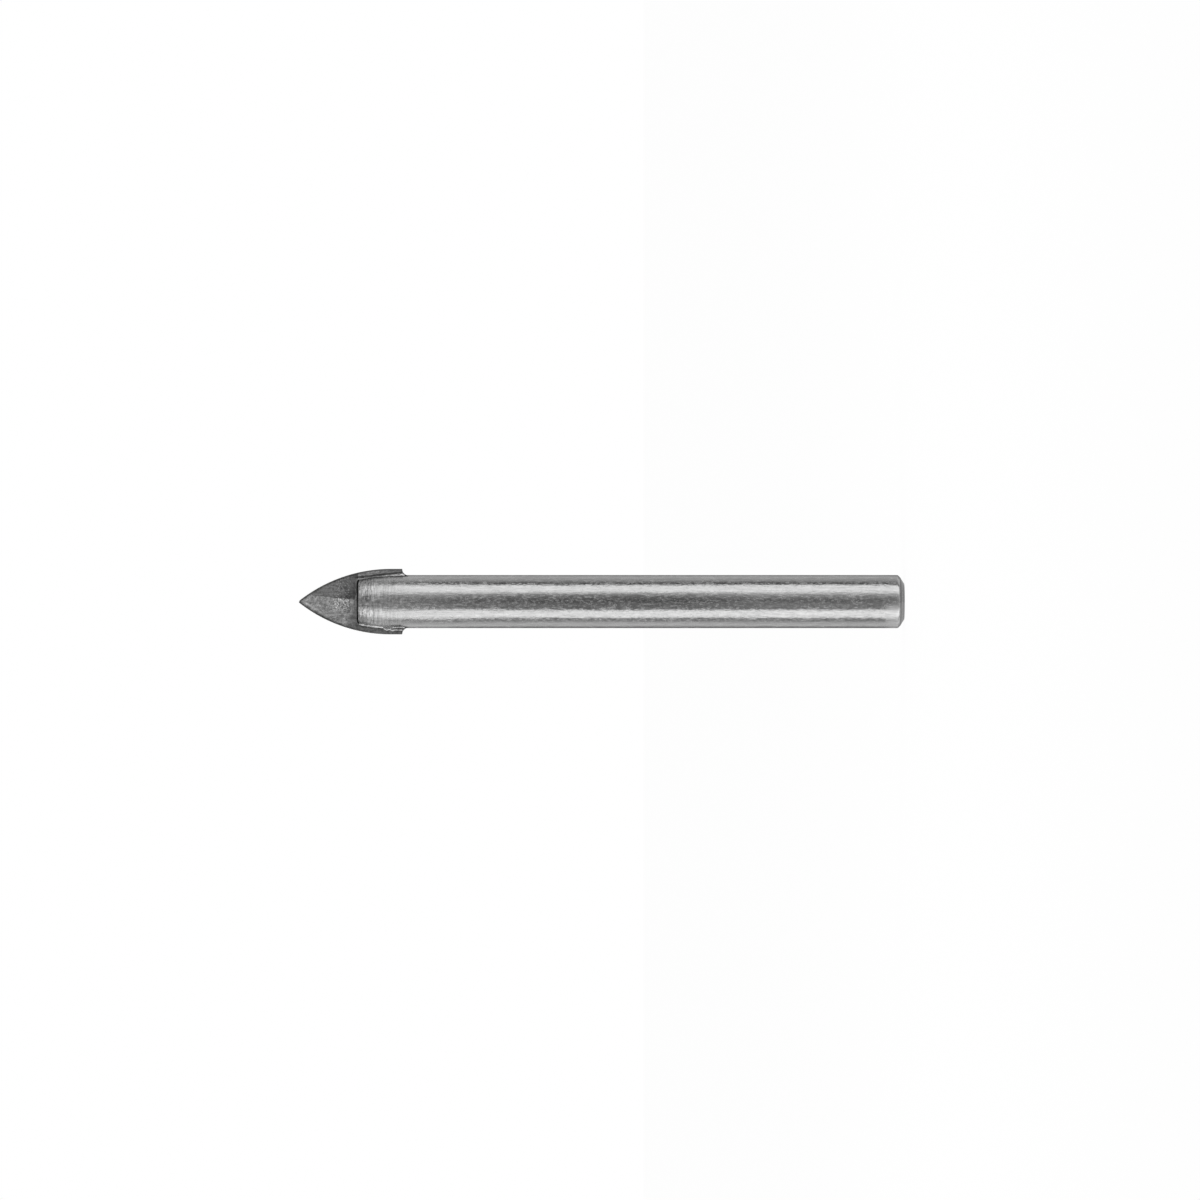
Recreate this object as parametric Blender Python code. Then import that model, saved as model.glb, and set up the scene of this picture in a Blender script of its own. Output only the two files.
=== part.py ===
"""Spear-point drill bit for glass and tile, standing on the rear face of its shank.

The axis of the bit is the Z axis, with the rear face at the origin and the point up. The broad
faces of the carbide tip look along -Y and +Y, and its width runs along X. Every form is drawn
lying, with the point at -X and its front face up, and is stood upright once it is whole.
Lengths are in metres.
"""

from math import asin, cos, pi, radians, sin, sqrt, tan

import bmesh
import bpy
from mathutils import Matrix, Vector

# Shank, a turned steel bar with a forked front end
OVERALL_LENGTH = 0.0570  # rear face to point
REAR_CHAMFER_LENGTH = 0.00038  # steep cone next to the rear face
REAR_CHAMFER_DEPTH = 0.00060
REAR_BREAK = 0.00023  # depth of the break between that cone and the bar
REAR_BREAK_ANGLE = radians(45.0)
REAR_BREAK_RADIUS = 0.00020
FORK_SETBACK = 0.00558  # point to the front of the fork
FORK_TAPER_LENGTH = 0.00260
FORK_TAPER_DEPTH = 0.00031
FORK_EDGE_RADIUS = 0.00028

# Carbide tip, a flat plate with a spear-shaped outline
TIP_WIDTH = 0.00617  # the diameter that the bit drills
TIP_LENGTH = 0.00970  # point to shoulders
SHOULDER = 0.000585  # how far each side of the tip stands out past the shank
TIP_THICKNESS = 0.00150
NOSE_LENGTH = 0.00875  # stretch over which the outline curves up to the full width
RELIEF_ANGLE = radians(5.5)  # how far the sides lean in behind each cutting edge
FACET_TILT = radians(14.0)  # fall of the ground facet behind each cutting edge
FACET_SWING = radians(5.7)  # angle in plan from the bit's axis to the inner edge of the facet
FACET_OFFSET = 0.00017  # axis to the inner edge of the facet, at the end by the fork
FACET_CORNER_RADIUS = 0.00015
FACET_TO_FORK = 0.00025

# Silver solder, which fills the slot round the tip and stands as fillets at its edges
SOLDER_FILM = 0.00008
SOLDER_BEAD = 0.00017  # height and width of the fillet along each edge of the slot
SOLDER_RUN_IN = 0.00070  # length over which that fillet grows behind the front of the fork
SHOULDER_FILLET_LENGTH = 0.00058
SOLDER_FEATHER = 0.000006  # thickness at which its fillets run out
JOINT_GAP = 0.00001  # between the solder and each part that it holds

# Fineness of the curves
SHANK_SIDES = 96
BAR_RINGS = 8
NOSE_STEPS = 28
TAPER_STEPS = 8
CORNER_STEPS = 5
SOLDER_STATIONS = 14
FILLET_STEPS = 8
WELD_DISTANCE = 1e-7
SHARP_ANGLE = radians(30.0)  # faces that meet at more than this keep a sharp edge

# Stands a lying form on its rear face: X goes down, Y to the right and Z to the front
UPRIGHT = Matrix(((0, 1, 0, 0), (0, 0, -1, 0), (-1, 0, 0, 0), (0, 0, 0, 1)))

# Places along the lying bit, and sizes that follow
point_x = -OVERALL_LENGTH
fork_x = point_x + FORK_SETBACK
taper_x = fork_x + FORK_TAPER_LENGTH
shoulder_x = point_x + TIP_LENGTH
slot_end_x = shoulder_x + SOLDER_FILM
solder_x = fork_x + FORK_EDGE_RADIUS
tip_half_width = TIP_WIDTH / 2
shank_radius = tip_half_width - SHOULDER
tip_face = TIP_THICKNESS / 2
slot_face = tip_face + SOLDER_FILM
relief_inset = TIP_THICKNESS * tan(RELIEF_ANGLE)
nose_radius = (NOSE_LENGTH**2 + tip_half_width**2) / (2 * tip_half_width)
taper_radius = (FORK_TAPER_LENGTH**2 + FORK_TAPER_DEPTH**2) / (2 * FORK_TAPER_DEPTH)


def clear_scene():
    for item in list(bpy.data.objects):
        bpy.data.objects.remove(item, do_unlink=True)


def metal(name, colour, roughness, metallic):
    material = bpy.data.materials.new(name)
    material.use_nodes = True
    shader = material.node_tree.nodes["Principled BSDF"]
    shader.inputs["Base Color"].default_value = (*colour, 1.0)
    shader.inputs["Roughness"].default_value = roughness
    shader.inputs["Metallic"].default_value = metallic
    return material


def object_from(form, name, material=None):
    """Stand a form upright as an object with outward faces, smooth but for its real edges."""
    bmesh.ops.remove_doubles(form, verts=form.verts, dist=WELD_DISTANCE)
    bmesh.ops.recalc_face_normals(form, faces=form.faces)
    bmesh.ops.transform(form, matrix=UPRIGHT, verts=form.verts)
    mesh = bpy.data.meshes.new(name)
    form.to_mesh(mesh)
    form.free()
    mesh.shade_smooth()
    mesh.set_sharp_from_angle(angle=SHARP_ANGLE)
    item = bpy.data.objects.new(name, mesh)
    bpy.context.scene.collection.objects.link(item)
    if material is None:
        item.hide_render = True
        item.display_type = "WIRE"
    else:
        mesh.materials.append(material)
    return item


def combine(item, other, operation):
    boolean = item.modifiers.new(other.name, "BOOLEAN")
    boolean.operation = operation
    boolean.solver = "EXACT"
    boolean.object = other


def block(name, low, high):
    """A cutter that fills the box from one corner to the other."""
    form = bmesh.new()
    bmesh.ops.create_cube(form, size=1.0)
    low, high = Vector(low), Vector(high)
    bmesh.ops.scale(form, verts=form.verts, vec=high - low)
    bmesh.ops.translate(form, verts=form.verts, vec=(low + high) / 2)
    return object_from(form, name)


def arc(centre, radius, start, end, steps):
    """Points on an arc, with its angles measured from the +X side."""
    angles = [start + (end - start) * step / steps for step in range(steps + 1)]
    return [(centre[0] + radius * cos(a), centre[1] + radius * sin(a)) for a in angles]


def lofted(form, sections):
    """Bridge a row of closed sections, each a list of points, and cap both ends."""
    rings = []
    for section in sections:
        corners = [form.verts.new(point) for point in section]
        pairs = zip(corners, corners[1:] + corners[:1])
        rings.append((corners, [form.edges.new(pair) for pair in pairs]))
    for (_, edges), (_, next_edges) in zip(rings, rings[1:]):
        bmesh.ops.bridge_loops(form, edges=edges + next_edges)
    form.faces.new(rings[0][0])
    form.faces.new(rings[-1][0])


def fork_radius(x):
    """Radius of the bar at x, along the straight part and the curved taper of the fork."""
    if x >= taper_x:
        return shank_radius
    return shank_radius - taper_radius + sqrt(taper_radius**2 - (x - taper_x) ** 2)


def rear_profile():
    """From the middle of the rear face out over its chamfer to the straight bar."""
    break_radius = shank_radius - REAR_BREAK
    corner_x = -REAR_CHAMFER_LENGTH - REAR_BREAK / tan(REAR_BREAK_ANGLE)
    tangent = REAR_BREAK_RADIUS * tan(REAR_BREAK_ANGLE / 2)
    centre = (corner_x - tangent, shank_radius - REAR_BREAK_RADIUS)
    face = [(0.0, 0.0), (0.0, break_radius - REAR_CHAMFER_DEPTH)]
    cone = [(-REAR_CHAMFER_LENGTH, break_radius)]
    edge = arc(centre, REAR_BREAK_RADIUS, pi / 2 - REAR_BREAK_ANGLE, pi / 2, CORNER_STEPS)
    return face + cone + edge


def fork_profile():
    """From the straight bar along the taper and round the front edge to the axis."""
    taper_centre = (taper_x, shank_radius - taper_radius)
    lean = asin((taper_x - solder_x) / (taper_radius - FORK_EDGE_RADIUS))
    edge_r = taper_centre[1] + (taper_radius - FORK_EDGE_RADIUS) * cos(lean)
    taper = arc(taper_centre, taper_radius, pi / 2, pi / 2 + lean, TAPER_STEPS)
    edge = arc((solder_x, edge_r), FORK_EDGE_RADIUS, pi / 2 + lean, pi, CORNER_STEPS)
    return taper + edge[1:] + [(fork_x, 0.0)]


def bar_profile(start_x):
    """Rings along the straight bar, between the rear break and the taper."""
    step = (taper_x - start_x) / BAR_RINGS
    return [(start_x + step * ring, shank_radius) for ring in range(1, BAR_RINGS)]


def make_shank(material):
    """Spin the profile about the bit's axis and slot it."""
    rear = rear_profile()
    profile = rear + bar_profile(rear[-1][0]) + fork_profile()
    form = bmesh.new()
    chain = [form.verts.new((x, radius, 0.0)) for x, radius in profile]
    for pair in zip(chain, chain[1:]):
        form.edges.new(pair)
    bmesh.ops.spin(
        form,
        geom=form.verts[:] + form.edges[:],
        cent=(0.0, 0.0, 0.0),
        axis=(1.0, 0.0, 0.0),
        angle=2 * pi,
        steps=SHANK_SIDES,
        use_merge=True,
    )
    shank = object_from(form, "shank", material)
    low = (point_x, -TIP_WIDTH, -slot_face)
    high = (slot_end_x, TIP_WIDTH, slot_face)
    combine(shank, block("slot_cutter", low, high), "DIFFERENCE")
    return shank


def point_offset():
    """How far each face's point lies off the axis, to the side of that face's cutting edge."""
    to_centre = nose_radius - tip_half_width
    return (nose_radius**2 - (nose_radius - relief_inset) ** 2) / (4 * to_centre)


def nose_centre_x():
    """Where the nose arcs are centred, so that the chisel edge lies at the point."""
    to_centre = nose_radius - tip_half_width
    return point_x + sqrt(nose_radius**2 - (to_centre + point_offset()) ** 2)


def nose_side(radius, offset, side):
    """One side of the outline from the point back to the shoulder."""
    centre = (nose_centre_x(), tip_half_width - nose_radius)
    point_angle = pi - asin((offset - centre[1]) / radius)
    full_x = min(centre[0], shoulder_x)
    full_angle = pi / 2 + asin((centre[0] - full_x) / radius)
    curve = arc(centre, radius, point_angle, full_angle, NOSE_STEPS)
    curve.append((shoulder_x, curve[-1][1]))
    return [(x, side * y) for x, y in curve]


def tip_outline(cutting_side, z):
    """Outline of one face: the cutting side has the full width and the other is relieved."""
    cutting = nose_side(nose_radius, point_offset(), cutting_side)
    relieved = nose_side(nose_radius - relief_inset, -point_offset(), -cutting_side)
    if cutting_side < 0:
        ring = cutting[::-1] + relieved[1:]
    else:
        ring = relieved[::-1] + cutting[1:]
    return [(x, y, z) for x, y in ring]


def facet_cutter():
    """A block whose underside grinds the facet behind one cutting edge, and its half turn."""
    reach = TIP_LENGTH
    corner = FACET_CORNER_RADIUS
    form = bmesh.new()
    bmesh.ops.create_cube(form, size=reach)
    bmesh.ops.translate(form, verts=form.verts, vec=(-reach / 2, reach / 4, reach / 2))
    ends = [e for e in form.edges if all(abs(v.co.x) + abs(v.co.z) < corner for v in e.verts)]
    bmesh.ops.bevel(
        form,
        geom=ends,
        offset=corner,
        segments=CORNER_STEPS,
        affect="EDGES",
        profile=0.5,
    )
    place = Matrix.Translation((fork_x - FACET_TO_FORK, FACET_OFFSET, tip_face))
    swing = Matrix.Rotation(-FACET_SWING, 4, "Z")
    tilt = Matrix.Rotation(-FACET_TILT, 4, "X")
    bmesh.ops.transform(form, matrix=place @ swing @ tilt, verts=form.verts)
    copy = bmesh.ops.duplicate(form, geom=form.verts[:] + form.edges[:] + form.faces[:])
    turned = [item for item in copy["geom"] if isinstance(item, bmesh.types.BMVert)]
    bmesh.ops.transform(form, matrix=Matrix.Rotation(pi, 4, "X"), verts=turned)
    return object_from(form, "facet_cutter")


def make_tip(material):
    """A plate lofted from one broad face to the other, then ground behind each edge."""
    form = bmesh.new()
    lofted(form, [tip_outline(1, -tip_face), tip_outline(-1, tip_face)])
    tip = object_from(form, "carbide_tip", material)
    combine(tip, facet_cutter(), "DIFFERENCE")
    return tip


def hollow(foot, corner, top):
    """A hollow curve in a section, from foot to top, touching both lines through the corner."""
    shares = [step / CORNER_STEPS for step in range(CORNER_STEPS + 1)]
    foot, corner, top = Vector(foot), Vector(corner), Vector(top)
    return [tuple(foot.lerp(corner, s).lerp(corner.lerp(top, s), s)) for s in shares]


def on_circle(radius, z):
    """Where a circle round the axis stands at a height, on its +Y side."""
    return (sqrt(radius**2 - z**2), z)


def slot_section(x):
    """Section of the solder that fills the slot, with a fillet at each of its four edges."""
    radius = fork_radius(x) + JOINT_GAP
    bead = SOLDER_FEATHER + SOLDER_BEAD * sqrt(min((x - solder_x) / SOLDER_RUN_IN, 1.0))
    roof = slot_face - JOINT_GAP
    foot_z = tip_face + JOINT_GAP + SOLDER_FEATHER
    edge = on_circle(radius, roof)
    top = on_circle(radius, slot_face + bead)
    halfway = on_circle(radius, (roof + top[1]) / 2)
    corner = (top[0] + (top[1] - foot_z) * top[1] / top[0], foot_z)
    foot = (corner[0] + bead, foot_z)
    quarter = hollow(foot, corner, top) + [halfway, edge]
    upper = quarter + [(-y, z) for y, z in quarter[::-1]]
    lower = [(-y, -z) for y, z in upper]
    return [(x, y, z) for y, z in upper + lower]


def shoulder_section(share, side):
    """Section of the fillet behind a shoulder, at a share of its hollow curve."""
    radius = shank_radius + JOINT_GAP
    height = nose_side(nose_radius, point_offset(), 1)[-1][1] - radius
    angle = share * asin(1.0 - SOLDER_FEATHER / height)
    x = shoulder_x + 2 * JOINT_GAP + SHOULDER_FILLET_LENGTH * (1.0 - cos(angle))
    crest_z = tip_face * cos(angle / 2)
    crest = (radius + height * (1.0 - sin(angle)), crest_z)
    foot = on_circle(radius, crest_z + SOLDER_FILM + SOLDER_BEAD)
    corner = (foot[0] + (foot[1] - crest_z) * foot[1] / foot[0], crest_z)
    half = hollow(foot, corner, crest)
    outer = half + [(y, -z) for y, z in half[::-1]]
    lean = asin(foot[1] / radius)
    inner = arc((0.0, 0.0), radius, -lean, lean, FILLET_STEPS)[1:-1]
    return [(x, side * y, z) for y, z in outer + inner]


def make_solder(material):
    """Solder round the tip in its slot, hollowed for the tip, with both shoulder fillets."""
    length = slot_end_x - JOINT_GAP - solder_x
    shares = [(station / SOLDER_STATIONS) ** 2 for station in range(SOLDER_STATIONS + 1)]
    form = bmesh.new()
    lofted(form, [slot_section(solder_x + length * share) for share in shares])
    solder = object_from(form, "braze", material)
    low = (point_x, -TIP_WIDTH, -tip_face - JOINT_GAP)
    high = (shoulder_x + JOINT_GAP, TIP_WIDTH, tip_face + JOINT_GAP)
    combine(solder, block("tip_pocket_cutter", low, high), "DIFFERENCE")
    for side, name in ((1, "fillet_left"), (-1, "fillet_right")):
        shares = [step / FILLET_STEPS for step in range(FILLET_STEPS + 1)]
        form = bmesh.new()
        lofted(form, [shoulder_section(share, side) for share in shares])
        combine(solder, object_from(form, name), "UNION")
    return solder


clear_scene()
make_shank(metal("drawn_steel", (0.47, 0.47, 0.47), 0.32, 1.0))
make_tip(metal("tungsten_carbide", (0.20, 0.20, 0.205), 0.45, 0.9))
make_solder(metal("silver_solder", (0.68, 0.68, 0.66), 0.28, 1.0))
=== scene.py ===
from math import asin, cos, pi, radians, sin, sqrt, tan

import bpy
from mathutils import Matrix, Vector


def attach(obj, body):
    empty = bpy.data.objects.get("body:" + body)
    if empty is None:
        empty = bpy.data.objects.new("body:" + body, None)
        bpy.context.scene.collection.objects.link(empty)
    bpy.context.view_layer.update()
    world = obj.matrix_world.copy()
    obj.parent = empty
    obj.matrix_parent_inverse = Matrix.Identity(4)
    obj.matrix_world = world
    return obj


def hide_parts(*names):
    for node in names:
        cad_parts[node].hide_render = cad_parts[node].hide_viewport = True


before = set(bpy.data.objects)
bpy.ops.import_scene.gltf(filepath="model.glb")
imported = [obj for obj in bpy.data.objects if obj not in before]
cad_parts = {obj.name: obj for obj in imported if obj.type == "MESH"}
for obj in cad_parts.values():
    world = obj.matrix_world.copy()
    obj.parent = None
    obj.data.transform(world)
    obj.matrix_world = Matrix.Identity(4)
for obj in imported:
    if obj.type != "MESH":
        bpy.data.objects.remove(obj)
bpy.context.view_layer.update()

# The shank is a length of drawn steel bar, 5 mm across. It is turned to a chamfer at the rear,
# ground to a rounded taper at the front, and slotted across there to take the carbide tip.
point_height = 0.0570
shank_radius = 0.0025
bar_sides = 192
rear_flat_radius = 0.00167
rear_cone_radius = 0.00227
rear_cone_height = 0.00038
rear_round = 0.00020
fork_height = point_height - 0.00558
taper_length = 0.00260
taper_depth = 0.00031
taper_radius = (taper_length**2 + taper_depth**2) / (2 * taper_depth)
fork_round = 0.00028
slot_half = 0.00083
slot_floor = point_height - 0.00978
slot_bevel = 0.00003
cutter_top = 0.060
cutter_width = 0.008
rear_steps = 6
plain_steps = 24
taper_steps = 16
front_steps = 8


def let_go():
    """Leaves edit mode with nothing selected."""
    if bpy.context.mode != "OBJECT":
        bpy.ops.object.mode_set(mode="OBJECT")
    bpy.ops.object.select_all(action="DESELECT")


def take(piece):
    """Makes one piece the only one selected, and the active one."""
    let_go()
    piece.select_set(True)
    bpy.context.view_layer.objects.active = piece


def apply_modifier(piece, kind, **settings):
    """Adds one modifier, sets it and applies it."""
    take(piece)
    modifier = piece.modifiers.new(kind.lower(), kind)
    for name, value in settings.items():
        setattr(modifier, name, value)
    bpy.ops.object.modifier_apply(modifier=modifier.name)


def break_edges(piece, width, segments, sharpest):
    """Bevels the edges that turn by more than an angle."""
    apply_modifier(
        piece, "BEVEL", width=width, segments=segments, limit_method="ANGLE", angle_limit=sharpest
    )


def cut_with(piece, body, operation):
    """Cuts or joins a piece with another body, which is used up."""
    apply_modifier(piece, "BOOLEAN", object=body, operation=operation, solver="EXACT")
    bpy.data.objects.remove(body, do_unlink=True)


def settle_mesh(piece, angle):
    """Puts a piece's place in its mesh, merges doubles, faces it outwards and smooths it."""
    take(piece)
    bpy.ops.object.transform_apply(location=True, rotation=True, scale=True)
    bpy.ops.object.mode_set(mode="EDIT")
    bpy.ops.mesh.select_all(action="SELECT")
    bpy.ops.mesh.remove_doubles(threshold=1e-6)
    bpy.ops.mesh.normals_make_consistent(inside=False)
    bpy.ops.object.mode_set(mode="OBJECT")
    bpy.ops.object.shade_smooth_by_angle(angle=angle)


def draw_out(height, radius, old_height, old_radius):
    """Draws the picked face up to a height and brings it to a radius."""
    bpy.ops.mesh.extrude_region_move(
        TRANSFORM_OT_translate={"value": (0.0, 0.0, height - old_height)}
    )
    ratio = radius / old_radius
    bpy.ops.transform.resize(value=(ratio, ratio, 1.0), center_override=(0.0, 0.0, height))


def bar_radius(height):
    """Radius of the bar at a height on its straight part or its taper."""
    rise = max(height - (fork_height - taper_length), 0.0)
    return shank_radius - taper_radius + sqrt(taper_radius**2 - rise**2)


def turned_steps():
    """Height and radius of each turned step, from the rear cone to the flat front."""
    break_centre = rear_cone_height + (shank_radius - rear_cone_radius) + rear_round * tan(pi / 8)
    steps = [(rear_cone_height, rear_cone_radius)]
    for step in range(rear_steps + 1):
        angle = pi / 4 + pi / 4 * step / rear_steps
        out = shank_radius - rear_round + rear_round * sin(angle)
        steps.append((break_centre - rear_round * cos(angle), out))
    taper_start = fork_height - taper_length
    steps += [(taper_start * step / plain_steps, shank_radius) for step in range(1, plain_steps)]
    round_height = fork_height - fork_round
    lean = asin((round_height - taper_start) / (taper_radius - fork_round))
    for step in range(taper_steps + 1):
        height = taper_start + taper_radius * sin(lean * step / taper_steps)
        steps.append((height, bar_radius(height)))
    round_out = steps[-1][1] - fork_round * cos(lean)
    for step in range(1, front_steps + 1):
        angle = lean + (pi / 2 - lean) * step / front_steps
        steps.append((round_height + fork_round * sin(angle), round_out + fork_round * cos(angle)))
    return steps


let_go()
bpy.ops.mesh.primitive_circle_add(vertices=bar_sides, radius=rear_flat_radius, fill_type="NGON")
shank = bpy.context.object
shank.name = "turned_shank"
bpy.ops.object.mode_set(mode="EDIT")
bpy.ops.mesh.select_all(action="SELECT")
at_height, at_radius = 0.0, rear_flat_radius
for step_height, step_radius in turned_steps():
    draw_out(step_height, step_radius, at_height, at_radius)
    at_height, at_radius = step_height, step_radius
settle_mesh(shank, radians(30))
let_go()
bpy.ops.mesh.primitive_cube_add(
    size=1.0,
    location=(0.0, 0.0, (slot_floor + cutter_top) / 2),
    scale=(cutter_width, 2 * slot_half, cutter_top - slot_floor),
)
cut_with(shank, bpy.context.object, "DIFFERENCE")
break_edges(shank, slot_bevel, 2, radians(40))
settle_mesh(shank, radians(30))


def node(tree, kind, inputs=None, **settings):
    """Adds a shader node with its settings; an input is a value or another node's output."""
    made = tree.nodes.new("ShaderNode" + kind)
    for name, value in settings.items():
        setattr(made, name, value)
    for name, value in (inputs or {}).items():
        if isinstance(value, bpy.types.NodeSocket):
            tree.links.new(value, made.inputs[name])
        else:
            made.inputs[name].default_value = value
    return made


def maths(tree, operation, first, second=0.0, clamp=False):
    """One sum on numbers."""
    made = node(tree, "Math", {0: first, 1: second}, operation=operation, use_clamp=clamp)
    return made.outputs[0]


def ramp(tree, value, low, high, low_out=0.0, high_out=1.0):
    """A smooth step of a value between two limits."""
    made = node(
        tree,
        "MapRange",
        {"Value": value, "From Min": low, "From Max": high, "To Min": low_out, "To Max": high_out},
        interpolation_type="SMOOTHSTEP",
    )
    return made.outputs[0]


def noise(tree, place, stretch, detail, turn=(0.0, 0.0, 0.0), shift=0.0):
    """Noise on a place in millimetres: stretch is how often it changes per millimetre of X, Y
    and Z, and shift moves it, so that no two patterns are alike."""
    moved = (shift, shift, shift)
    inputs = {"Vector": place, "Scale": stretch, "Rotation": turn, "Location": moved}
    spread = node(tree, "Mapping", inputs)
    made = node(tree, "TexNoise", {"Vector": spread.outputs[0], "Scale": 1.0, "Detail": detail})
    return made.outputs[0]


def both(tree, first, second):
    """Where two zones or patterns meet: one times the other."""
    return maths(tree, "MULTIPLY", first, second)


def add_up(tree, start, patterns):
    """A value with a share of each pattern added."""
    value = start
    for pattern, share in patterns:
        value = maths(tree, "ADD", value, maths(tree, "MULTIPLY", pattern, share))
    return value


def take_off(tree, start, patterns):
    """A value less a share of each pattern."""
    value = start
    for pattern, share in patterns:
        value = maths(tree, "SUBTRACT", value, maths(tree, "MULTIPLY", pattern, share))
    return value


def darken(tree, value, shades):
    """A value that each shade takes its share of away from."""
    for shade, share in shades:
        value = maths(tree, "MULTIPLY", value, take_off(tree, 1.0, ((shade, share),)))
    return value


def grey(tree, value):
    """A grey colour of a brightness."""
    made = node(tree, "CombineColor", {"Red": value, "Green": value, "Blue": value})
    return made.outputs[0]


def bumps(tree, layers):
    """Bump layers laid over each other, each a height and the distance it stands for."""
    normal = None
    for height, distance in layers:
        inputs = {"Height": height, "Distance": distance, "Strength": 1.0}
        if normal is not None:
            inputs["Normal"] = normal
        normal = node(tree, "Bump", inputs).outputs[0]
    return normal


def start_metal(name, metallic):
    """A metal's node tree with its shader and its place in millimetres."""
    material = bpy.data.materials.new(name)
    material.use_nodes = True
    tree = material.node_tree
    shader = tree.nodes["Principled BSDF"]
    shader.inputs["Metallic"].default_value = metallic
    metres = node(tree, "TexCoord").outputs["Object"]
    place = node(tree, "VectorMath", {0: metres, "Scale": 1000.0}, operation="SCALE").outputs[0]
    parts = node(tree, "SeparateXYZ", {0: place}).outputs
    return material, tree, shader, place, parts


steel, tree, shader, place, (across, depth, height) = start_metal("drawn_steel", 1.0)

# Zones of the bar, in millimetres: the ground fork, the bar behind it, the turned rear with
# painted shade on its cone and its two edges, painted shade along the joint with the solder and on
# one side of the slot and the prongs, and a worn rear end.
near_fork = ramp(tree, height, 45.5, 50.5)
behind_fork = ramp(tree, height, 40.5, 46.5)
near_rear = ramp(tree, height, 0.62, 0.42)
# cone and corner are painted shade on the rear cone and on the rear's two edges.
cone = ramp(tree, height, 0.42, 0.36)
corner = both(tree, ramp(tree, height, 0.28, 0.34), ramp(tree, height, 0.47, 0.41))
corner = maths(tree, "MAXIMUM", corner, ramp(tree, height, 0.12, 0.05))
front = ramp(tree, height, 49.9, 50.8)
off_middle = maths(tree, "ABSOLUTE", depth)
# Painted shade along the joint with the solder, just outside the slot's walls.
joint_shade = both(tree, ramp(tree, off_middle, 1.02, 0.88), ramp(tree, height, 48.4, 48.8))
# Painted shade on one side of the bar: beside the slot near the fork, and on the prongs.
shaded_side = ramp(tree, maths(tree, "MULTIPLY", across, depth), -0.3, -0.9)
slot_side_shade = both(tree, ramp(tree, off_middle, 1.50, 1.02), shaded_side)
slot_side_shade = both(tree, slot_side_shade, ramp(tree, height, 48.4, 49.4))
prong_side_shade = both(tree, shaded_side, ramp(tree, height, 47.0, 49.0))
worn = both(tree, ramp(tree, height, 2.4, 1.2), ramp(tree, across, 0.1, -0.4))

# Patterns along the bar: drawing lines of several widths, slow waves, mottle and pits.
streaks = noise(tree, place, (3.2, 3.2, 0.16), detail=4.0)
fine_streaks = noise(tree, place, (7.0, 7.0, 0.9), detail=4.0, shift=7.0)
hairlines = noise(tree, place, (6.5, 6.5, 0.4), detail=1.5, shift=47.0)
waves = noise(tree, place, (0.75, 0.75, 0.16), detail=2.0, shift=3.0)
ripple = noise(tree, place, (2.2, 2.2, 0.6), detail=3.0, shift=11.0)
mottle = noise(tree, place, (4.2, 4.2, 1.3), detail=4.0, shift=17.0)
specks = noise(tree, place, (4.6, 4.6, 1.2), detail=4.0, shift=21.0)
dull = ramp(tree, specks, 0.44, 0.74)
pits = noise(tree, place, (6.0, 6.0, 2.8), detail=2.0, shift=41.0)
pits = ramp(tree, pits, 0.48, 0.62)
patches = noise(tree, place, (0.9, 0.9, 0.4), detail=2.0, shift=43.0)
pitted = both(tree, pits, ramp(tree, patches, 0.36, 0.62, 0.5, 1.0))

# Patterns round the bar: the marks of the grinding wheel at the fork and of turning at the rear.
ground = noise(tree, place, (0.5, 0.5, 5.5), detail=2.0, shift=5.0)
scored = noise(tree, place, (0.8, 0.8, 11.0), detail=2.0, shift=15.0)
grinding = maths(tree, "ADD", ground, scored)
marks = both(tree, maths(tree, "SUBTRACT", grinding, 1.0), near_fork)
grinding = both(tree, grinding, near_fork)
chatter = noise(tree, place, (2.8, 2.8, 9.0), detail=3.0, shift=27.0)
chatter = ramp(tree, chatter, 0.38, 0.62, -0.5, 0.5)
chatter = both(tree, chatter, ramp(tree, height, 49.4, 50.2))
# Painted highlights: bright flecks near the front of the prongs.
highlight_flecks = noise(tree, place, (4.5, 4.5, 6.5), detail=2.0, shift=51.0)
highlight_flecks = both(tree, ramp(tree, highlight_flecks, 0.52, 0.60), ramp(tree, height, 50.3, 50.9))
turned = noise(tree, place, (0.5, 0.5, 9.0), detail=3.0, shift=9.0)
turning = both(tree, turned, near_rear)

# The steel's base grey and roughness, what each pattern and zone adds to them or takes away, and
# the height of its relief in metres.
steel_grey = 0.19
steel_roughness = 0.06
lines_marks_and_highlights = (
    (streaks, 0.10),
    (hairlines, 0.12),
    (fine_streaks, 0.14),
    (mottle, 0.22),
    (marks, 0.45),
    (chatter, 0.28),
    (highlight_flecks, 0.26),
)
# Every dark zone but front is painted shade; front darkens the front of the prongs.
dark_zones = (
    (corner, 0.5),
    (cone, 0.18),
    (joint_shade, 0.4),
    (slot_side_shade, 0.6),
    (front, 0.28),
    (prong_side_shade, 0.07),
)
tone = darken(tree, add_up(tree, steel_grey, lines_marks_and_highlights), dark_zones)
tone = add_up(tree, tone, ((worn, 0.10),))
tree.links.new(grey(tree, tone), shader.inputs["Base Color"])
uneven = (
    (mottle, 0.18),
    (worn, 0.22),
    (near_fork, 0.12),
    (dull, 0.08),
    (pitted, 0.08),
    (behind_fork, 0.03),
)
tree.links.new(add_up(tree, steel_roughness, uneven), shader.inputs["Roughness"])
metallic = take_off(tree, 1.0, ((dull, 0.10), (pitted, 0.22), (behind_fork, 0.06)))
tree.links.new(metallic, shader.inputs["Metallic"])
relief = (
    (waves, 0.000012),
    (ripple, 0.000006),
    (mottle, 0.000005),
    (specks, 0.000003),
    (hairlines, 0.000004),
    (pits, 0.0000025),
    (grinding, 0.000010),
    (turning, 0.000003),
)
tree.links.new(bumps(tree, relief), shader.inputs["Normal"])
shank.data.materials.clear()
shank.data.materials.append(steel)
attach(shank, "root")
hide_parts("shank")

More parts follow.
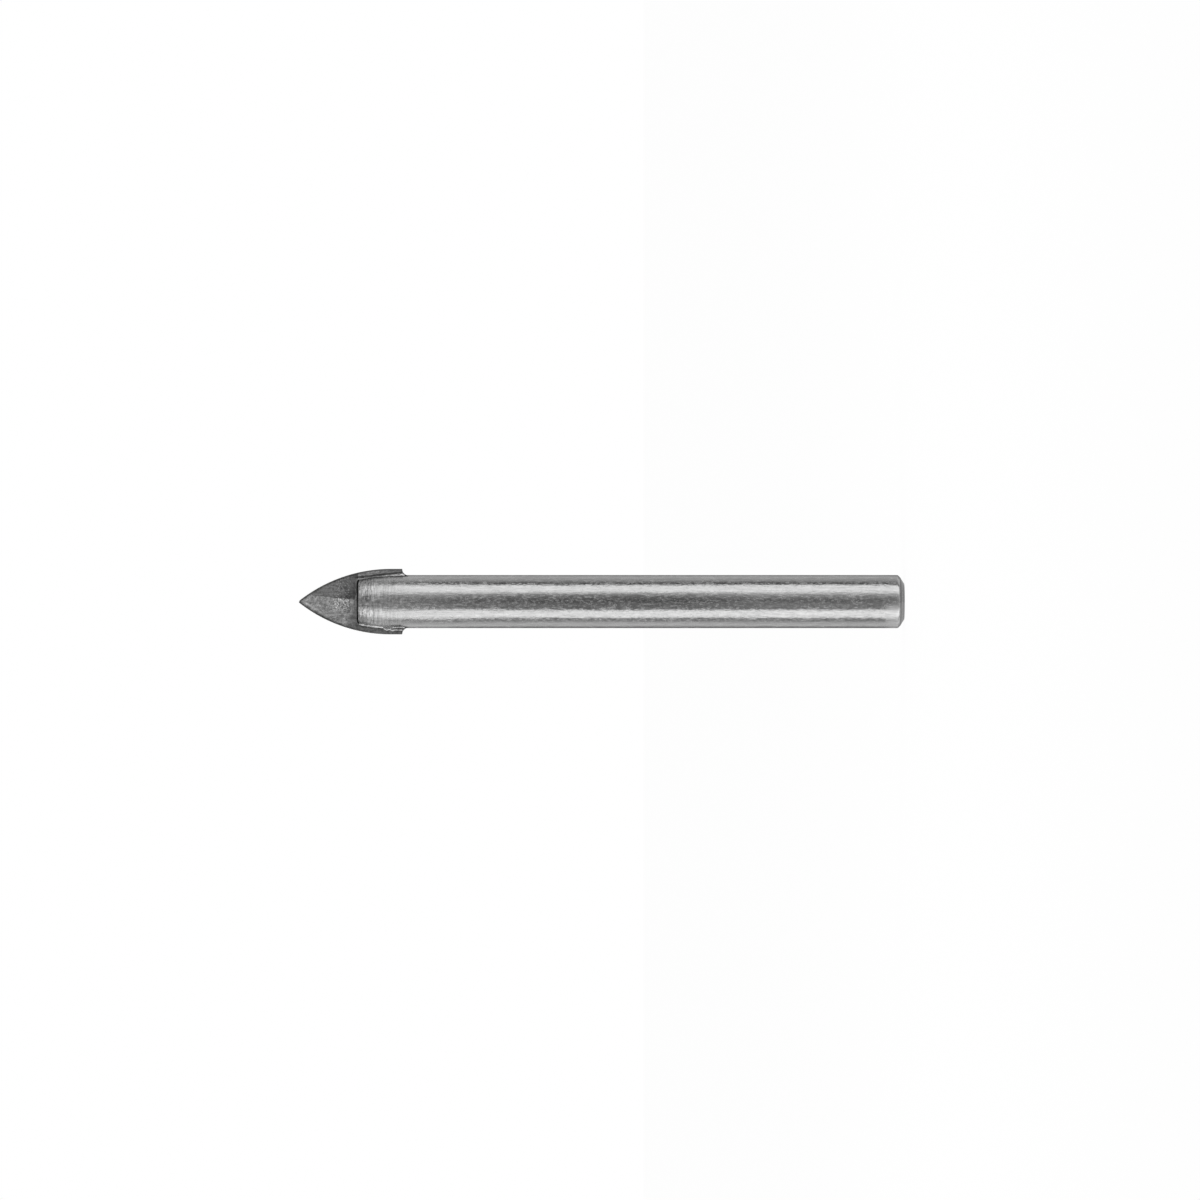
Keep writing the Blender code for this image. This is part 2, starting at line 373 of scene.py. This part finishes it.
# The tip is a plate of sintered tungsten carbide, brazed into the fork. Its sides are ground to
# two arcs that lean in behind the cutting edges, and each broad face has a sloping facet ground
# behind its edge.
tip_half_width = 0.003085
tip_half_thick = 0.00075
shoulder_height = point_height - 0.00970
nose_length = 0.00875
nose_radius = (nose_length**2 + tip_half_width**2) / (2 * tip_half_width)
side_relief = 2 * tip_half_thick * tan(radians(5.5))
nose_aside = nose_radius - tip_half_width
point_aside = (nose_radius**2 - (nose_radius - side_relief) ** 2) / (4 * nose_aside)
nose_centre = point_height - sqrt(nose_radius**2 - (nose_aside + point_aside) ** 2)
facet_tilt = radians(14.0)
facet_swing = radians(5.7)
facet_reach = 0.00970
facet_edge_round = 0.00015
facet_aside = 0.00017
facet_above_fork = 0.00025
tip_break = 0.000012
cone_sides = 720


def grinding_cone(side, thickness):
    """The cone whose flank is one ground side of the tip, full on that side's cutting face."""
    lean = side_relief * thickness / (2 * tip_half_thick) / 2
    middle = nose_radius - side_relief / 2
    let_go()
    bpy.ops.mesh.primitive_cone_add(
        vertices=cone_sides,
        radius1=middle - side * lean,
        radius2=middle + side * lean,
        depth=thickness,
        location=(-side * nose_aside, 0.0, nose_centre),
        rotation=(radians(-90), 0.0, 0.0),
    )
    return bpy.context.object


tip = grinding_cone(-1, 2 * tip_half_thick)
tip.name = "ground_tip"
cut_with(tip, grinding_cone(1, 3 * tip_half_thick), "INTERSECT")
settle_mesh(tip, radians(20))
bpy.ops.object.mode_set(mode="EDIT")
bpy.ops.mesh.select_all(action="SELECT")
bpy.ops.mesh.bisect(
    plane_co=(0.0, 0.0, nose_centre), plane_no=(0.0, 0.0, 1.0), use_fill=True, clear_inner=True
)
bpy.ops.mesh.select_mode(type="FACE")
bpy.ops.mesh.select_all(action="DESELECT")
bpy.ops.object.mode_set(mode="OBJECT")
for face in tip.data.polygons:
    face.select = face.normal.z < -0.9 and face.center.z < nose_centre + 1e-5
bpy.ops.object.mode_set(mode="EDIT")
bpy.ops.mesh.extrude_region_move(
    TRANSFORM_OT_translate={"value": (0.0, 0.0, shoulder_height - nose_centre)}
)
let_go()
bpy.ops.mesh.primitive_cube_add(
    size=facet_reach, location=(facet_reach / 4, -facet_reach / 2, facet_reach / 2)
)
wheel = bpy.context.object
bpy.ops.object.transform_apply(location=True)
bpy.ops.object.mode_set(mode="EDIT")
bpy.ops.mesh.select_mode(type="EDGE")
bpy.ops.mesh.select_all(action="DESELECT")
bpy.ops.object.mode_set(mode="OBJECT")
for edge in wheel.data.edges:
    ends = [wheel.data.vertices[index].co for index in edge.vertices]
    edge.select = all(abs(end.y) < 1e-6 and abs(end.z) < 1e-6 for end in ends)
bpy.ops.object.mode_set(mode="EDIT")
bpy.ops.mesh.bevel(offset=facet_edge_round, segments=6, affect="EDGES")
bpy.ops.object.mode_set(mode="OBJECT")
wheel.rotation_mode = "ZYX"
wheel.rotation_euler = (0.0, facet_swing, facet_tilt)
wheel.location = (facet_aside, -tip_half_thick, fork_height + facet_above_fork)
bpy.context.view_layer.update()


def half_turn_copy(piece):
    """Copies a piece with its own mesh, half a turn round the axis of the bit."""
    copy = piece.copy()
    copy.data = piece.data.copy()
    bpy.context.scene.collection.objects.link(copy)
    copy.matrix_world = Matrix.Rotation(pi, 4, "Z") @ piece.matrix_world
    return copy


back_wheel = half_turn_copy(wheel)
cut_with(tip, wheel, "DIFFERENCE")
cut_with(tip, back_wheel, "DIFFERENCE")
break_edges(tip, tip_break, 1, radians(30))
settle_mesh(tip, radians(20))


def carbide(name, base, roughness, grain):
    """Tungsten carbide in a base grey, with a share of the coarse grain of the raw faces."""
    material, tree, shader, place, (across, depth, height) = start_metal(name, 0.85)

    # Margin is the distance in from the cutting edge. half_turned is the distance from the axis,
    # above nought on the facet's half of either face and below it on the plain half. These and
    # the heights are in millimetres.
    aside = maths(tree, "ABSOLUTE", across)
    half_turned = maths(tree, "MULTIPLY", across, ramp(tree, depth, 0.05, -0.05, -1.0, 1.0))
    risen = maths(tree, "MAXIMUM", height, nose_centre * 1000)
    spot = node(tree, "CombineXYZ", {0: aside, 1: 0.0, 2: risen}).outputs[0]
    centre = (-nose_aside * 1000, 0.0, nose_centre * 1000)
    reach = node(tree, "VectorMath", {0: spot, 1: centre}, operation="DISTANCE").outputs["Value"]
    margin = maths(tree, "SUBTRACT", nose_radius * 1000, reach)

    # Grain of the sintered metal, and lines of the grinding wheel across it.
    grains = ramp(tree, noise(tree, place, (4.8, 4.8, 4.8), detail=4.0), 0.34, 0.66)
    sparkle = noise(tree, place, (7.0, 7.0, 7.0), detail=2.0, shift=13.0)
    blotch = noise(tree, place, (1.6, 1.6, 1.6), detail=4.0, shift=31.0)
    wheel_turn = (0.0, radians(52), 0.0)
    wheel_marks = noise(tree, place, (4.0, 4.0, 0.8), detail=3.0, turn=wheel_turn)
    wheel_marks = ramp(tree, wheel_marks, 0.34, 0.66)
    grainy = both(tree, ramp(tree, height, 51.9, 52.4), ramp(tree, height, 54.3, 53.2))
    grainy = both(tree, grainy, ramp(tree, half_turned, -1.1, -0.5))
    # glint is painted glints: bright specks added to the colour, most on the grainy half.
    glint = maths(tree, "MULTIPLY", ramp(tree, sparkle, 0.53, 0.63), grain)
    glint = both(tree, glint, maths(tree, "ADD", 0.3, grainy))
    hollow = both(tree, ramp(tree, sparkle, 0.47, 0.38), grainy)

    # A dark line beside the solder leans outwards by 0.1165 mm per millimetre down.
    line_place = maths(tree, "MULTIPLY", maths(tree, "SUBTRACT", 51.77, height), 0.1165)
    off_line = maths(tree, "SUBTRACT", maths(tree, "SUBTRACT", aside, 2.242), line_place)
    off_line = maths(tree, "ABSOLUTE", off_line)
    dark_line = both(tree, ramp(tree, off_line, 0.12, 0.05), ramp(tree, height, 51.9, 51.5))
    dark_line = both(tree, dark_line, ramp(tree, half_turned, -0.5, 0.5, 0.4, 1.0))

    # Painted shade in the crevice round the prong's front, with a painted lighter band outside it.
    down_prong = maths(tree, "SUBTRACT", 51.42, height)
    prong_edge = maths(tree, "ADD", 1.73, maths(tree, "MULTIPLY", down_prong, 0.20))
    past_edge = maths(tree, "MAXIMUM", maths(tree, "SUBTRACT", aside, prong_edge), 0.0)
    past_front = maths(tree, "MAXIMUM", maths(tree, "SUBTRACT", height, 51.12), 0.0)
    past = node(tree, "CombineXYZ", {0: past_edge, 1: past_front}).outputs[0]
    from_prong = node(tree, "VectorMath", {0: past}, operation="LENGTH").outputs["Value"]
    crevice_shade = both(tree, ramp(tree, from_prong, 0.455, 0.42), ramp(tree, height, 50.8, 51.0))
    painted_light_band = both(tree, ramp(tree, from_prong, 0.50, 0.54), ramp(tree, from_prong, 0.68, 0.62))
    painted_light_band = both(tree, painted_light_band, ramp(tree, height, 51.2, 51.6))

    # Painted shade as a dark rim along the cutting edge, a painted gleam inside it near the point,
    # and a painted shaded strip inside it on the plain half.
    rim_shade = ramp(tree, margin, 0.24 + 0.05 * grain, 0.08)
    rim_shade = both(tree, rim_shade, ramp(tree, height, 50.5, 52.5, 0.35, 1.0))
    gleam = both(tree, ramp(tree, margin, 0.26, 0.34), ramp(tree, margin, 0.52, 0.42))
    gleam = both(tree, gleam, ramp(tree, height, 54.2, 55.4))
    edge_shade = both(tree, ramp(tree, margin, 1.0, 0.5), ramp(tree, half_turned, 0.0, -0.4))
    edge_shade = both(tree, edge_shade, ramp(tree, height, 52.6, 53.2))
    edge_shade = both(tree, edge_shade, ramp(tree, height, 55.5, 54.9))

    # Darker towards the fork, a dark patch on the plain half, and painted shade in the corner at
    # the facet's end.
    low_end = ramp(tree, height, 53.6, 51.8)
    dark_patch = both(tree, ramp(tree, height, 52.9, 52.0), ramp(tree, half_turned, -1.1, -1.6))
    corner_shade = both(tree, ramp(tree, height, 51.95, 51.75), ramp(tree, aside, 1.75, 1.5))

    light_parts = (
        (grains, 0.03 + 0.14 * grain),
        (blotch, 0.08 + 0.14 * grain),
        (wheel_marks, 0.05 + 0.09 * grain),
        (glint, 0.36),
        (painted_light_band, 0.07 - 0.05 * grain),
        (gleam, 0.12 * grain),
    )
    dark_parts = (
        (corner_shade, 0.33),
        (dark_line, 0.7),
        (crevice_shade, 0.97),
        (rim_shade, 0.72),
        (low_end, 0.40 - 0.33 * grain),
        (dark_patch, 0.38),
        (edge_shade, 0.15 * grain),
        (hollow, 0.40 * grain),
    )
    tone = add_up(tree, base - 0.08 - 0.20 * grain, light_parts)
    tree.links.new(grey(tree, darken(tree, tone, dark_parts)), shader.inputs["Base Color"])
    rough = add_up(tree, roughness - 0.08, ((grains, 0.16),))
    tree.links.new(rough, shader.inputs["Roughness"])
    relief = (
        (wheel_marks, 0.000003),
        (grains, 0.000002 + 0.000006 * grain),
        (sparkle, 0.000008 * grain),
    )
    tree.links.new(bumps(tree, relief), shader.inputs["Normal"])
    return material


# The broad faces keep the grainy skin that they were sintered with. Facets and sides are ground.
tip.data.materials.clear()
tip.data.materials.append(carbide("sintered_carbide", base=0.43, roughness=0.50, grain=1.0))
tip.data.materials.append(carbide("ground_carbide", base=0.20, roughness=0.42, grain=0.35))
for face in tip.data.polygons:
    face.material_index = 0 if abs(face.normal.y) > 0.995 else 1
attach(tip, "root")
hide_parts("carbide_tip")

# Silver solder holds the tip. It has run along the edges of the slot in uneven beads and left a
# hollow fillet behind each shoulder of the tip, with a thin film inside the slot.
bead_depth = 0.00081
bead_lean = radians(27)
bead_sides = 16
melt_step = 0.000024
fillet_radius = 0.00058
fillet_inner = 0.00225
fillet_outer = tip_half_width - 0.00003
fillet_overlap = 0.00002
fillet_thinner = 0.00004
tool_sides = 96
tool_length = 0.004
tool_clearance = 0.00001
film_middle = 0.00079
film_thick = 0.00007
film_width = 0.0044
film_top = fork_height - 0.0001
film_bevel = 0.00002

# Stations of the beads on the front face, from the top down: height, distance from the axis and
# radius, in millimetres.
right_bead = (
    (51.30, 2.00, 0.04),
    (50.60, 2.20, 0.05),
    (50.00, 2.30, 0.04),
    (49.60, 2.36, 0.05),
    (49.30, 2.38, 0.04),
    (48.95, 2.40, 0.06),
    (48.70, 2.42, 0.08),
    (48.40, 2.42, 0.05),
    (48.15, 2.46, 0.08),
    (47.85, 2.48, 0.09),
    (47.55, 2.48, 0.07),
    (47.30, 2.53, 0.17),
    (47.05, 2.45, 0.12),
)
left_bead = (
    (51.35, 2.08, 0.10),
    (51.10, 2.15, 0.17),
    (50.60, 2.24, 0.18),
    (50.10, 2.31, 0.18),
    (49.50, 2.37, 0.14),
    (49.00, 2.42, 0.15),
    (48.60, 2.46, 0.20),
    (48.25, 2.42, 0.10),
    (47.70, 2.42, 0.07),
    (47.05, 2.42, 0.08),
)
left_lumps = (
    (49.05, 2.50, 0.10),
    (48.75, 2.60, 0.19),
    (48.45, 2.57, 0.13),
    (48.20, 2.66, 0.19),
    (47.95, 2.64, 0.10),
    (47.60, 2.64, 0.10),
    (47.25, 2.65, 0.12),
)


def run_bead(stations, side, flatness=0.45):
    """Draws a bead along the edge of the slot, through stations given in millimetres."""
    places = []
    for high, out, size in stations:
        places.append((Vector((side * out, -bead_depth * 1000, high)) / 1000, size / 1000))
    let_go()
    spot, size = places[0]
    bpy.ops.mesh.primitive_circle_add(
        vertices=bead_sides, radius=size, location=spot, fill_type="NGON"
    )
    bead = bpy.context.object
    bead.scale = (1.0, flatness, 1.0)
    bead.rotation_euler.z = side * bead_lean
    bpy.ops.object.transform_apply(location=True, rotation=True, scale=True)
    bpy.ops.object.mode_set(mode="EDIT")
    bpy.ops.mesh.select_all(action="SELECT")
    for (old_spot, old_size), (new_spot, new_size) in zip(places, places[1:]):
        bpy.ops.mesh.extrude_region_move(TRANSFORM_OT_translate={"value": new_spot - old_spot})
        ratio = new_size / old_size
        bpy.ops.transform.resize(value=(ratio, ratio, 1.0), center_override=new_spot)
    bpy.ops.mesh.select_all(action="SELECT")
    bpy.ops.mesh.normals_make_consistent(inside=False)
    let_go()
    return bead


def shoulder_fillet(side):
    """Fills the corner behind a shoulder and hollows it with a round tool."""
    low, high = shoulder_height - fillet_radius, shoulder_height + fillet_overlap
    let_go()
    bpy.ops.mesh.primitive_cube_add(
        size=1.0,
        location=(side * (fillet_inner + fillet_outer) / 2, 0.0, (low + high) / 2),
        scale=(fillet_outer - fillet_inner, 2 * tip_half_thick - fillet_thinner, high - low),
    )
    fillet = bpy.context.object
    let_go()
    bpy.ops.mesh.primitive_cylinder_add(
        vertices=tool_sides,
        radius=fillet_radius,
        depth=tool_length,
        location=(side * (fillet_outer + tool_clearance), 0.0, low),
        rotation=(radians(90), 0.0, 0.0),
    )
    cut_with(fillet, bpy.context.object, "DIFFERENCE")
    return fillet


solder = run_bead(right_bead, 1)
solder.name = "run_solder"
others = [run_bead(left_bead, -1), run_bead(left_lumps, -1, 0.9)]
back = [half_turn_copy(bead) for bead in (solder, *others)]
let_go()
for part in (*others, *back, shoulder_fillet(1), shoulder_fillet(-1)):
    part.select_set(True)
solder.select_set(True)
bpy.context.view_layer.objects.active = solder
bpy.ops.object.join()
apply_modifier(solder, "REMESH", mode="VOXEL", voxel_size=melt_step)
apply_modifier(solder, "SMOOTH", factor=0.5, iterations=3)
settle_mesh(solder, radians(60))
film = []
for side in (-1, 1):
    let_go()
    bpy.ops.mesh.primitive_cube_add(
        size=1.0,
        location=(0.0, side * film_middle, (slot_floor + film_top) / 2),
        scale=(film_width, film_thick, film_top - slot_floor),
    )
    sheet = bpy.context.object
    apply_modifier(sheet, "BEVEL", width=film_bevel, segments=2)
    film.append(sheet)
let_go()
for sheet in film:
    sheet.select_set(True)
solder.select_set(True)
bpy.context.view_layer.objects.active = solder
bpy.ops.object.join()
settle_mesh(solder, radians(60))

# Its skin is bright and uneven, dark with flux against the tip's face and tarnished in patches.
silver_grey = 0.40
silver_roughness = 0.20
silver, tree, shader, place, (across, depth, height) = start_metal("silver_solder", 1.0)
lumps = noise(tree, place, (3.0, 3.0, 1.6), detail=3.0)
skin = noise(tree, place, (9.0, 9.0, 6.0), detail=4.0, shift=4.0)
flux = ramp(tree, maths(tree, "ABSOLUTE", depth), 0.84, 0.77)
tarnish = ramp(tree, lumps, 0.50, 0.62)
tone = add_up(tree, silver_grey, ((skin, 0.30),))
tone = darken(tree, tone, ((flux, 0.6), (tarnish, 0.55)))
tree.links.new(grey(tree, tone), shader.inputs["Base Color"])
rough = add_up(tree, silver_roughness, ((skin, 0.16),))
tree.links.new(rough, shader.inputs["Roughness"])
relief = ((lumps, 0.000020), (skin, 0.000008))
tree.links.new(bumps(tree, relief), shader.inputs["Normal"])
solder.data.materials.clear()
solder.data.materials.append(silver)
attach(solder, "root")
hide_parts("braze")

# The room: a white floor that the bit stands on under a white sky, and two soft lamps beside the
# camera. A paper drum shows the lamps, and the grey cards between them, to the metal alone.
floor_radius = 6.0
floor_sides = 96
paper_white = 0.95
paper_glow = 0.93
sky_light = 0.85
white = (1.0, 1.0, 1.0, 1.0)
let_go()
bpy.ops.mesh.primitive_circle_add(vertices=floor_sides, radius=floor_radius, fill_type="NGON")
floor = bpy.context.object
floor.name = "floor"


def seen_white(tree):
    """One where the camera, a mirror or glass looks, and nought where light falls."""
    rays = node(tree, "LightPath").outputs
    seen = maths(tree, "MAXIMUM", rays["Is Camera Ray"], rays["Is Glossy Ray"])
    return maths(tree, "MAXIMUM", seen, rays["Is Transmission Ray"])


paper = bpy.data.materials.new("white_paper")
paper.use_nodes = True
tree = paper.node_tree
tree.nodes.clear()
matt = node(tree, "BsdfDiffuse", {"Color": (paper_white, paper_white, paper_white, 1.0)})
bright = node(tree, "Emission", {"Color": white, "Strength": 1.0})
bright_share = maths(tree, "MULTIPLY", seen_white(tree), paper_glow)
mixed = node(tree, "MixShader", {0: bright_share, 1: matt.outputs[0], 2: bright.outputs[0]})
node(tree, "OutputMaterial", {"Surface": mixed.outputs[0]})
floor.data.materials.append(paper)

world = bpy.data.worlds.new("studio")
world.use_nodes = True
bpy.context.scene.world = world
tree = world.node_tree
tree.nodes.clear()
level = ramp(tree, seen_white(tree), 0.0, 1.0, sky_light, 1.0)
sky = node(tree, "Background", {"Color": white, "Strength": level})
node(tree, "OutputWorld", {"Surface": sky.outputs[0]})

# The lamps stand at angles from the front, in degrees towards +X.
lamps = (("right", 60.0), ("left", -54.0))
lamp_distance = 0.45
lamp_width = 0.20
lamp_height = 0.60
lamp_radiance = 1.6
for name, angle in lamps:
    lamp = bpy.data.lights.new(name + "_lamp", "AREA")
    lamp.shape = "RECTANGLE"
    lamp.size = lamp_width
    lamp.size_y = lamp_height
    lamp.energy = lamp_radiance * pi * lamp_width * lamp_height
    stand = bpy.data.objects.new(name + "_lamp", lamp)
    bpy.context.scene.collection.objects.link(stand)
    out_way = Vector((sin(radians(angle)), -cos(radians(angle)), 0.0))
    stand.location = out_way * lamp_distance + Vector((0.0, 0.0, lamp_height / 2))
    stand.rotation_euler = out_way.to_track_quat("Z", "Y").to_euler()
    stand.visible_camera = False
    stand.visible_glossy = False

# The drum's cards, each row an angle from the front in degrees and a brightness.
drum_radius = 0.08
drum_height = 0.30
drum_sides = 180
drum_lift = 0.00005
foot_radius = 0.00225
brightest = 1.5
behind_left = (
    (-180, 0.13),
    (-155, 0.16),
    (-139, 0.42),
    (-127, 0.82),
    (-104, 0.66),
    (-93, 0.34),
    (-76, 0.30),
)
left_lamp_card = ((-73, 1.50), (-39, 1.50))
cards_by_camera = ((-36, 0.26), (-14, 0.31), (0, 0.18), (12, 0.20), (24, 0.34), (34, 0.58))
right_lamp_card = ((40, 0.90), (44, 1.42), (75, 1.42))
behind_right = (
    (78, 0.12),
    (88, 0.12),
    (100, 0.42),
    (120, 0.56),
    (140, 0.62),
    (155, 0.25),
    (180, 0.13),
)
looks = behind_left + left_lamp_card + cards_by_camera + right_lamp_card + behind_right
let_go()
bpy.ops.mesh.primitive_cylinder_add(
    vertices=drum_sides,
    radius=drum_radius,
    depth=drum_height,
    location=(0.0, 0.0, drum_height / 2 + drum_lift),
)
drum = bpy.context.object
drum.name = "paper_drum"
bpy.ops.object.transform_apply(location=True)
cards = bpy.data.materials.new("grey_cards")
cards.use_nodes = True
tree = cards.node_tree
tree.nodes.clear()

# The turn round the bit, from -0.5 to 0.5. On the drum's bottom it spreads towards the bit,
# whose round side mirrors what lies close to it at a wider angle.
where = node(tree, "TexCoord").outputs["Object"]
aside, behind, above = node(tree, "SeparateXYZ", {0: where}).outputs
flat_place = node(tree, "CombineXYZ", {0: aside, 1: behind}).outputs[0]
off_axis = node(tree, "VectorMath", {0: flat_place}, operation="LENGTH").outputs["Value"]
out_of_bar = maths(tree, "MAXIMUM", off_axis, shank_radius)
nearness = maths(tree, "SUBTRACT", 1.0, maths(tree, "DIVIDE", shank_radius / 2, out_of_bar))
turn = maths(tree, "ARCTAN2", aside, maths(tree, "MULTIPLY", behind, -1.0))
turn = maths(tree, "DIVIDE", turn, maths(tree, "MULTIPLY", nearness, 2 * pi))

# The cards' edges aren't straight. Towards the ends of the bit the two lamps' cards widen, and
# just below the fork the left one reaches further out. Heights are in metres.
lamp_turn = 0.158
half_way_up = both(tree, ramp(tree, above, 0.013, 0.019), ramp(tree, above, 0.044, 0.038))
widest = both(tree, ramp(tree, above, 0.041, 0.045), ramp(tree, above, 0.051, 0.048))
widest = both(tree, widest, ramp(tree, turn, -0.15, -0.19))
round_half = maths(tree, "ABSOLUTE", turn)
wider = maths(tree, "SUBTRACT", 1.0, half_way_up)
wider = both(tree, wider, ramp(tree, round_half, 0.29, 0.23))
narrowing = take_off(tree, 1.0, ((wider, 0.08),))
side_turn = both(tree, maths(tree, "SUBTRACT", round_half, lamp_turn), narrowing)
side_turn = maths(tree, "ADD", side_turn, lamp_turn)
side_turn = both(tree, side_turn, maths(tree, "SIGN", turn))
side_turn = add_up(tree, side_turn, ((widest, 0.024),))
greys = node(tree, "ValToRGB", {"Fac": maths(tree, "ADD", side_turn, 0.5, clamp=True)})
stops = greys.color_ramp.elements
while len(stops) < len(looks):
    stops.new(0.5)
for stop, (angle, brightness) in zip(stops, looks):
    stop.position = (angle + 180) / 360
    stop.color = (brightness / brightest,) * 3 + (1.0,)

# The cards go dark at the top and are dimmer before the middle of the bit. The drum's bottom
# glows close to the bit, and is one even grey under its rear face, a painted shadow of the floor
# there that only the metal shows.
low_down = ramp(tree, above, 0.24, 0.29, 1.0, 0.05)
all_round = both(tree, maths(tree, "MULTIPLY", greys.outputs[0], brightest), low_down)
facing_us = ramp(tree, round_half, 0.105, 0.085)
all_round = darken(tree, all_round, ((both(tree, half_way_up, facing_us), 0.25),))
all_round = add_up(tree, all_round, ((ramp(tree, off_axis, 0.015, 0.004), 0.16),))
foot_shade = ramp(tree, off_axis, foot_radius, foot_radius * 1.2, 1.0, 0.0)
foot_shade_grey = 0.55
strength = node(tree, "Mix", {"Factor": foot_shade, "A": all_round, "B": foot_shade_grey}, data_type="FLOAT")
lit = node(tree, "Emission", {"Color": white, "Strength": strength.outputs[0]})
node(tree, "OutputMaterial", {"Surface": lit.outputs[0]})
drum.data.materials.append(cards)
drum.visible_camera = False
drum.visible_diffuse = False
drum.visible_transmission = False
drum.visible_shadow = False

# The camera looks straight at the broad face of the tip with the point to the left, through a
# long lens, so that nothing narrows with distance.
camera_distance = 1.0
camera_aside = 0.00015
camera_height = 0.02866
frame_width = 0.11304
view = bpy.data.cameras.new("camera")
view.type = "PERSP"
view.lens = view.sensor_width * camera_distance / frame_width
view.clip_end = 20.0
camera = bpy.data.objects.new("camera", view)
bpy.context.scene.collection.objects.link(camera)
facing = Matrix(((0, 1, 0), (0, 0, -1), (-1, 0, 0))).to_4x4()
camera_place = (camera_aside, -camera_distance, camera_height)
camera.matrix_world = Matrix.Translation(camera_place) @ facing
bpy.context.scene.camera = camera
bpy.context.scene.view_settings.view_transform = "Standard"
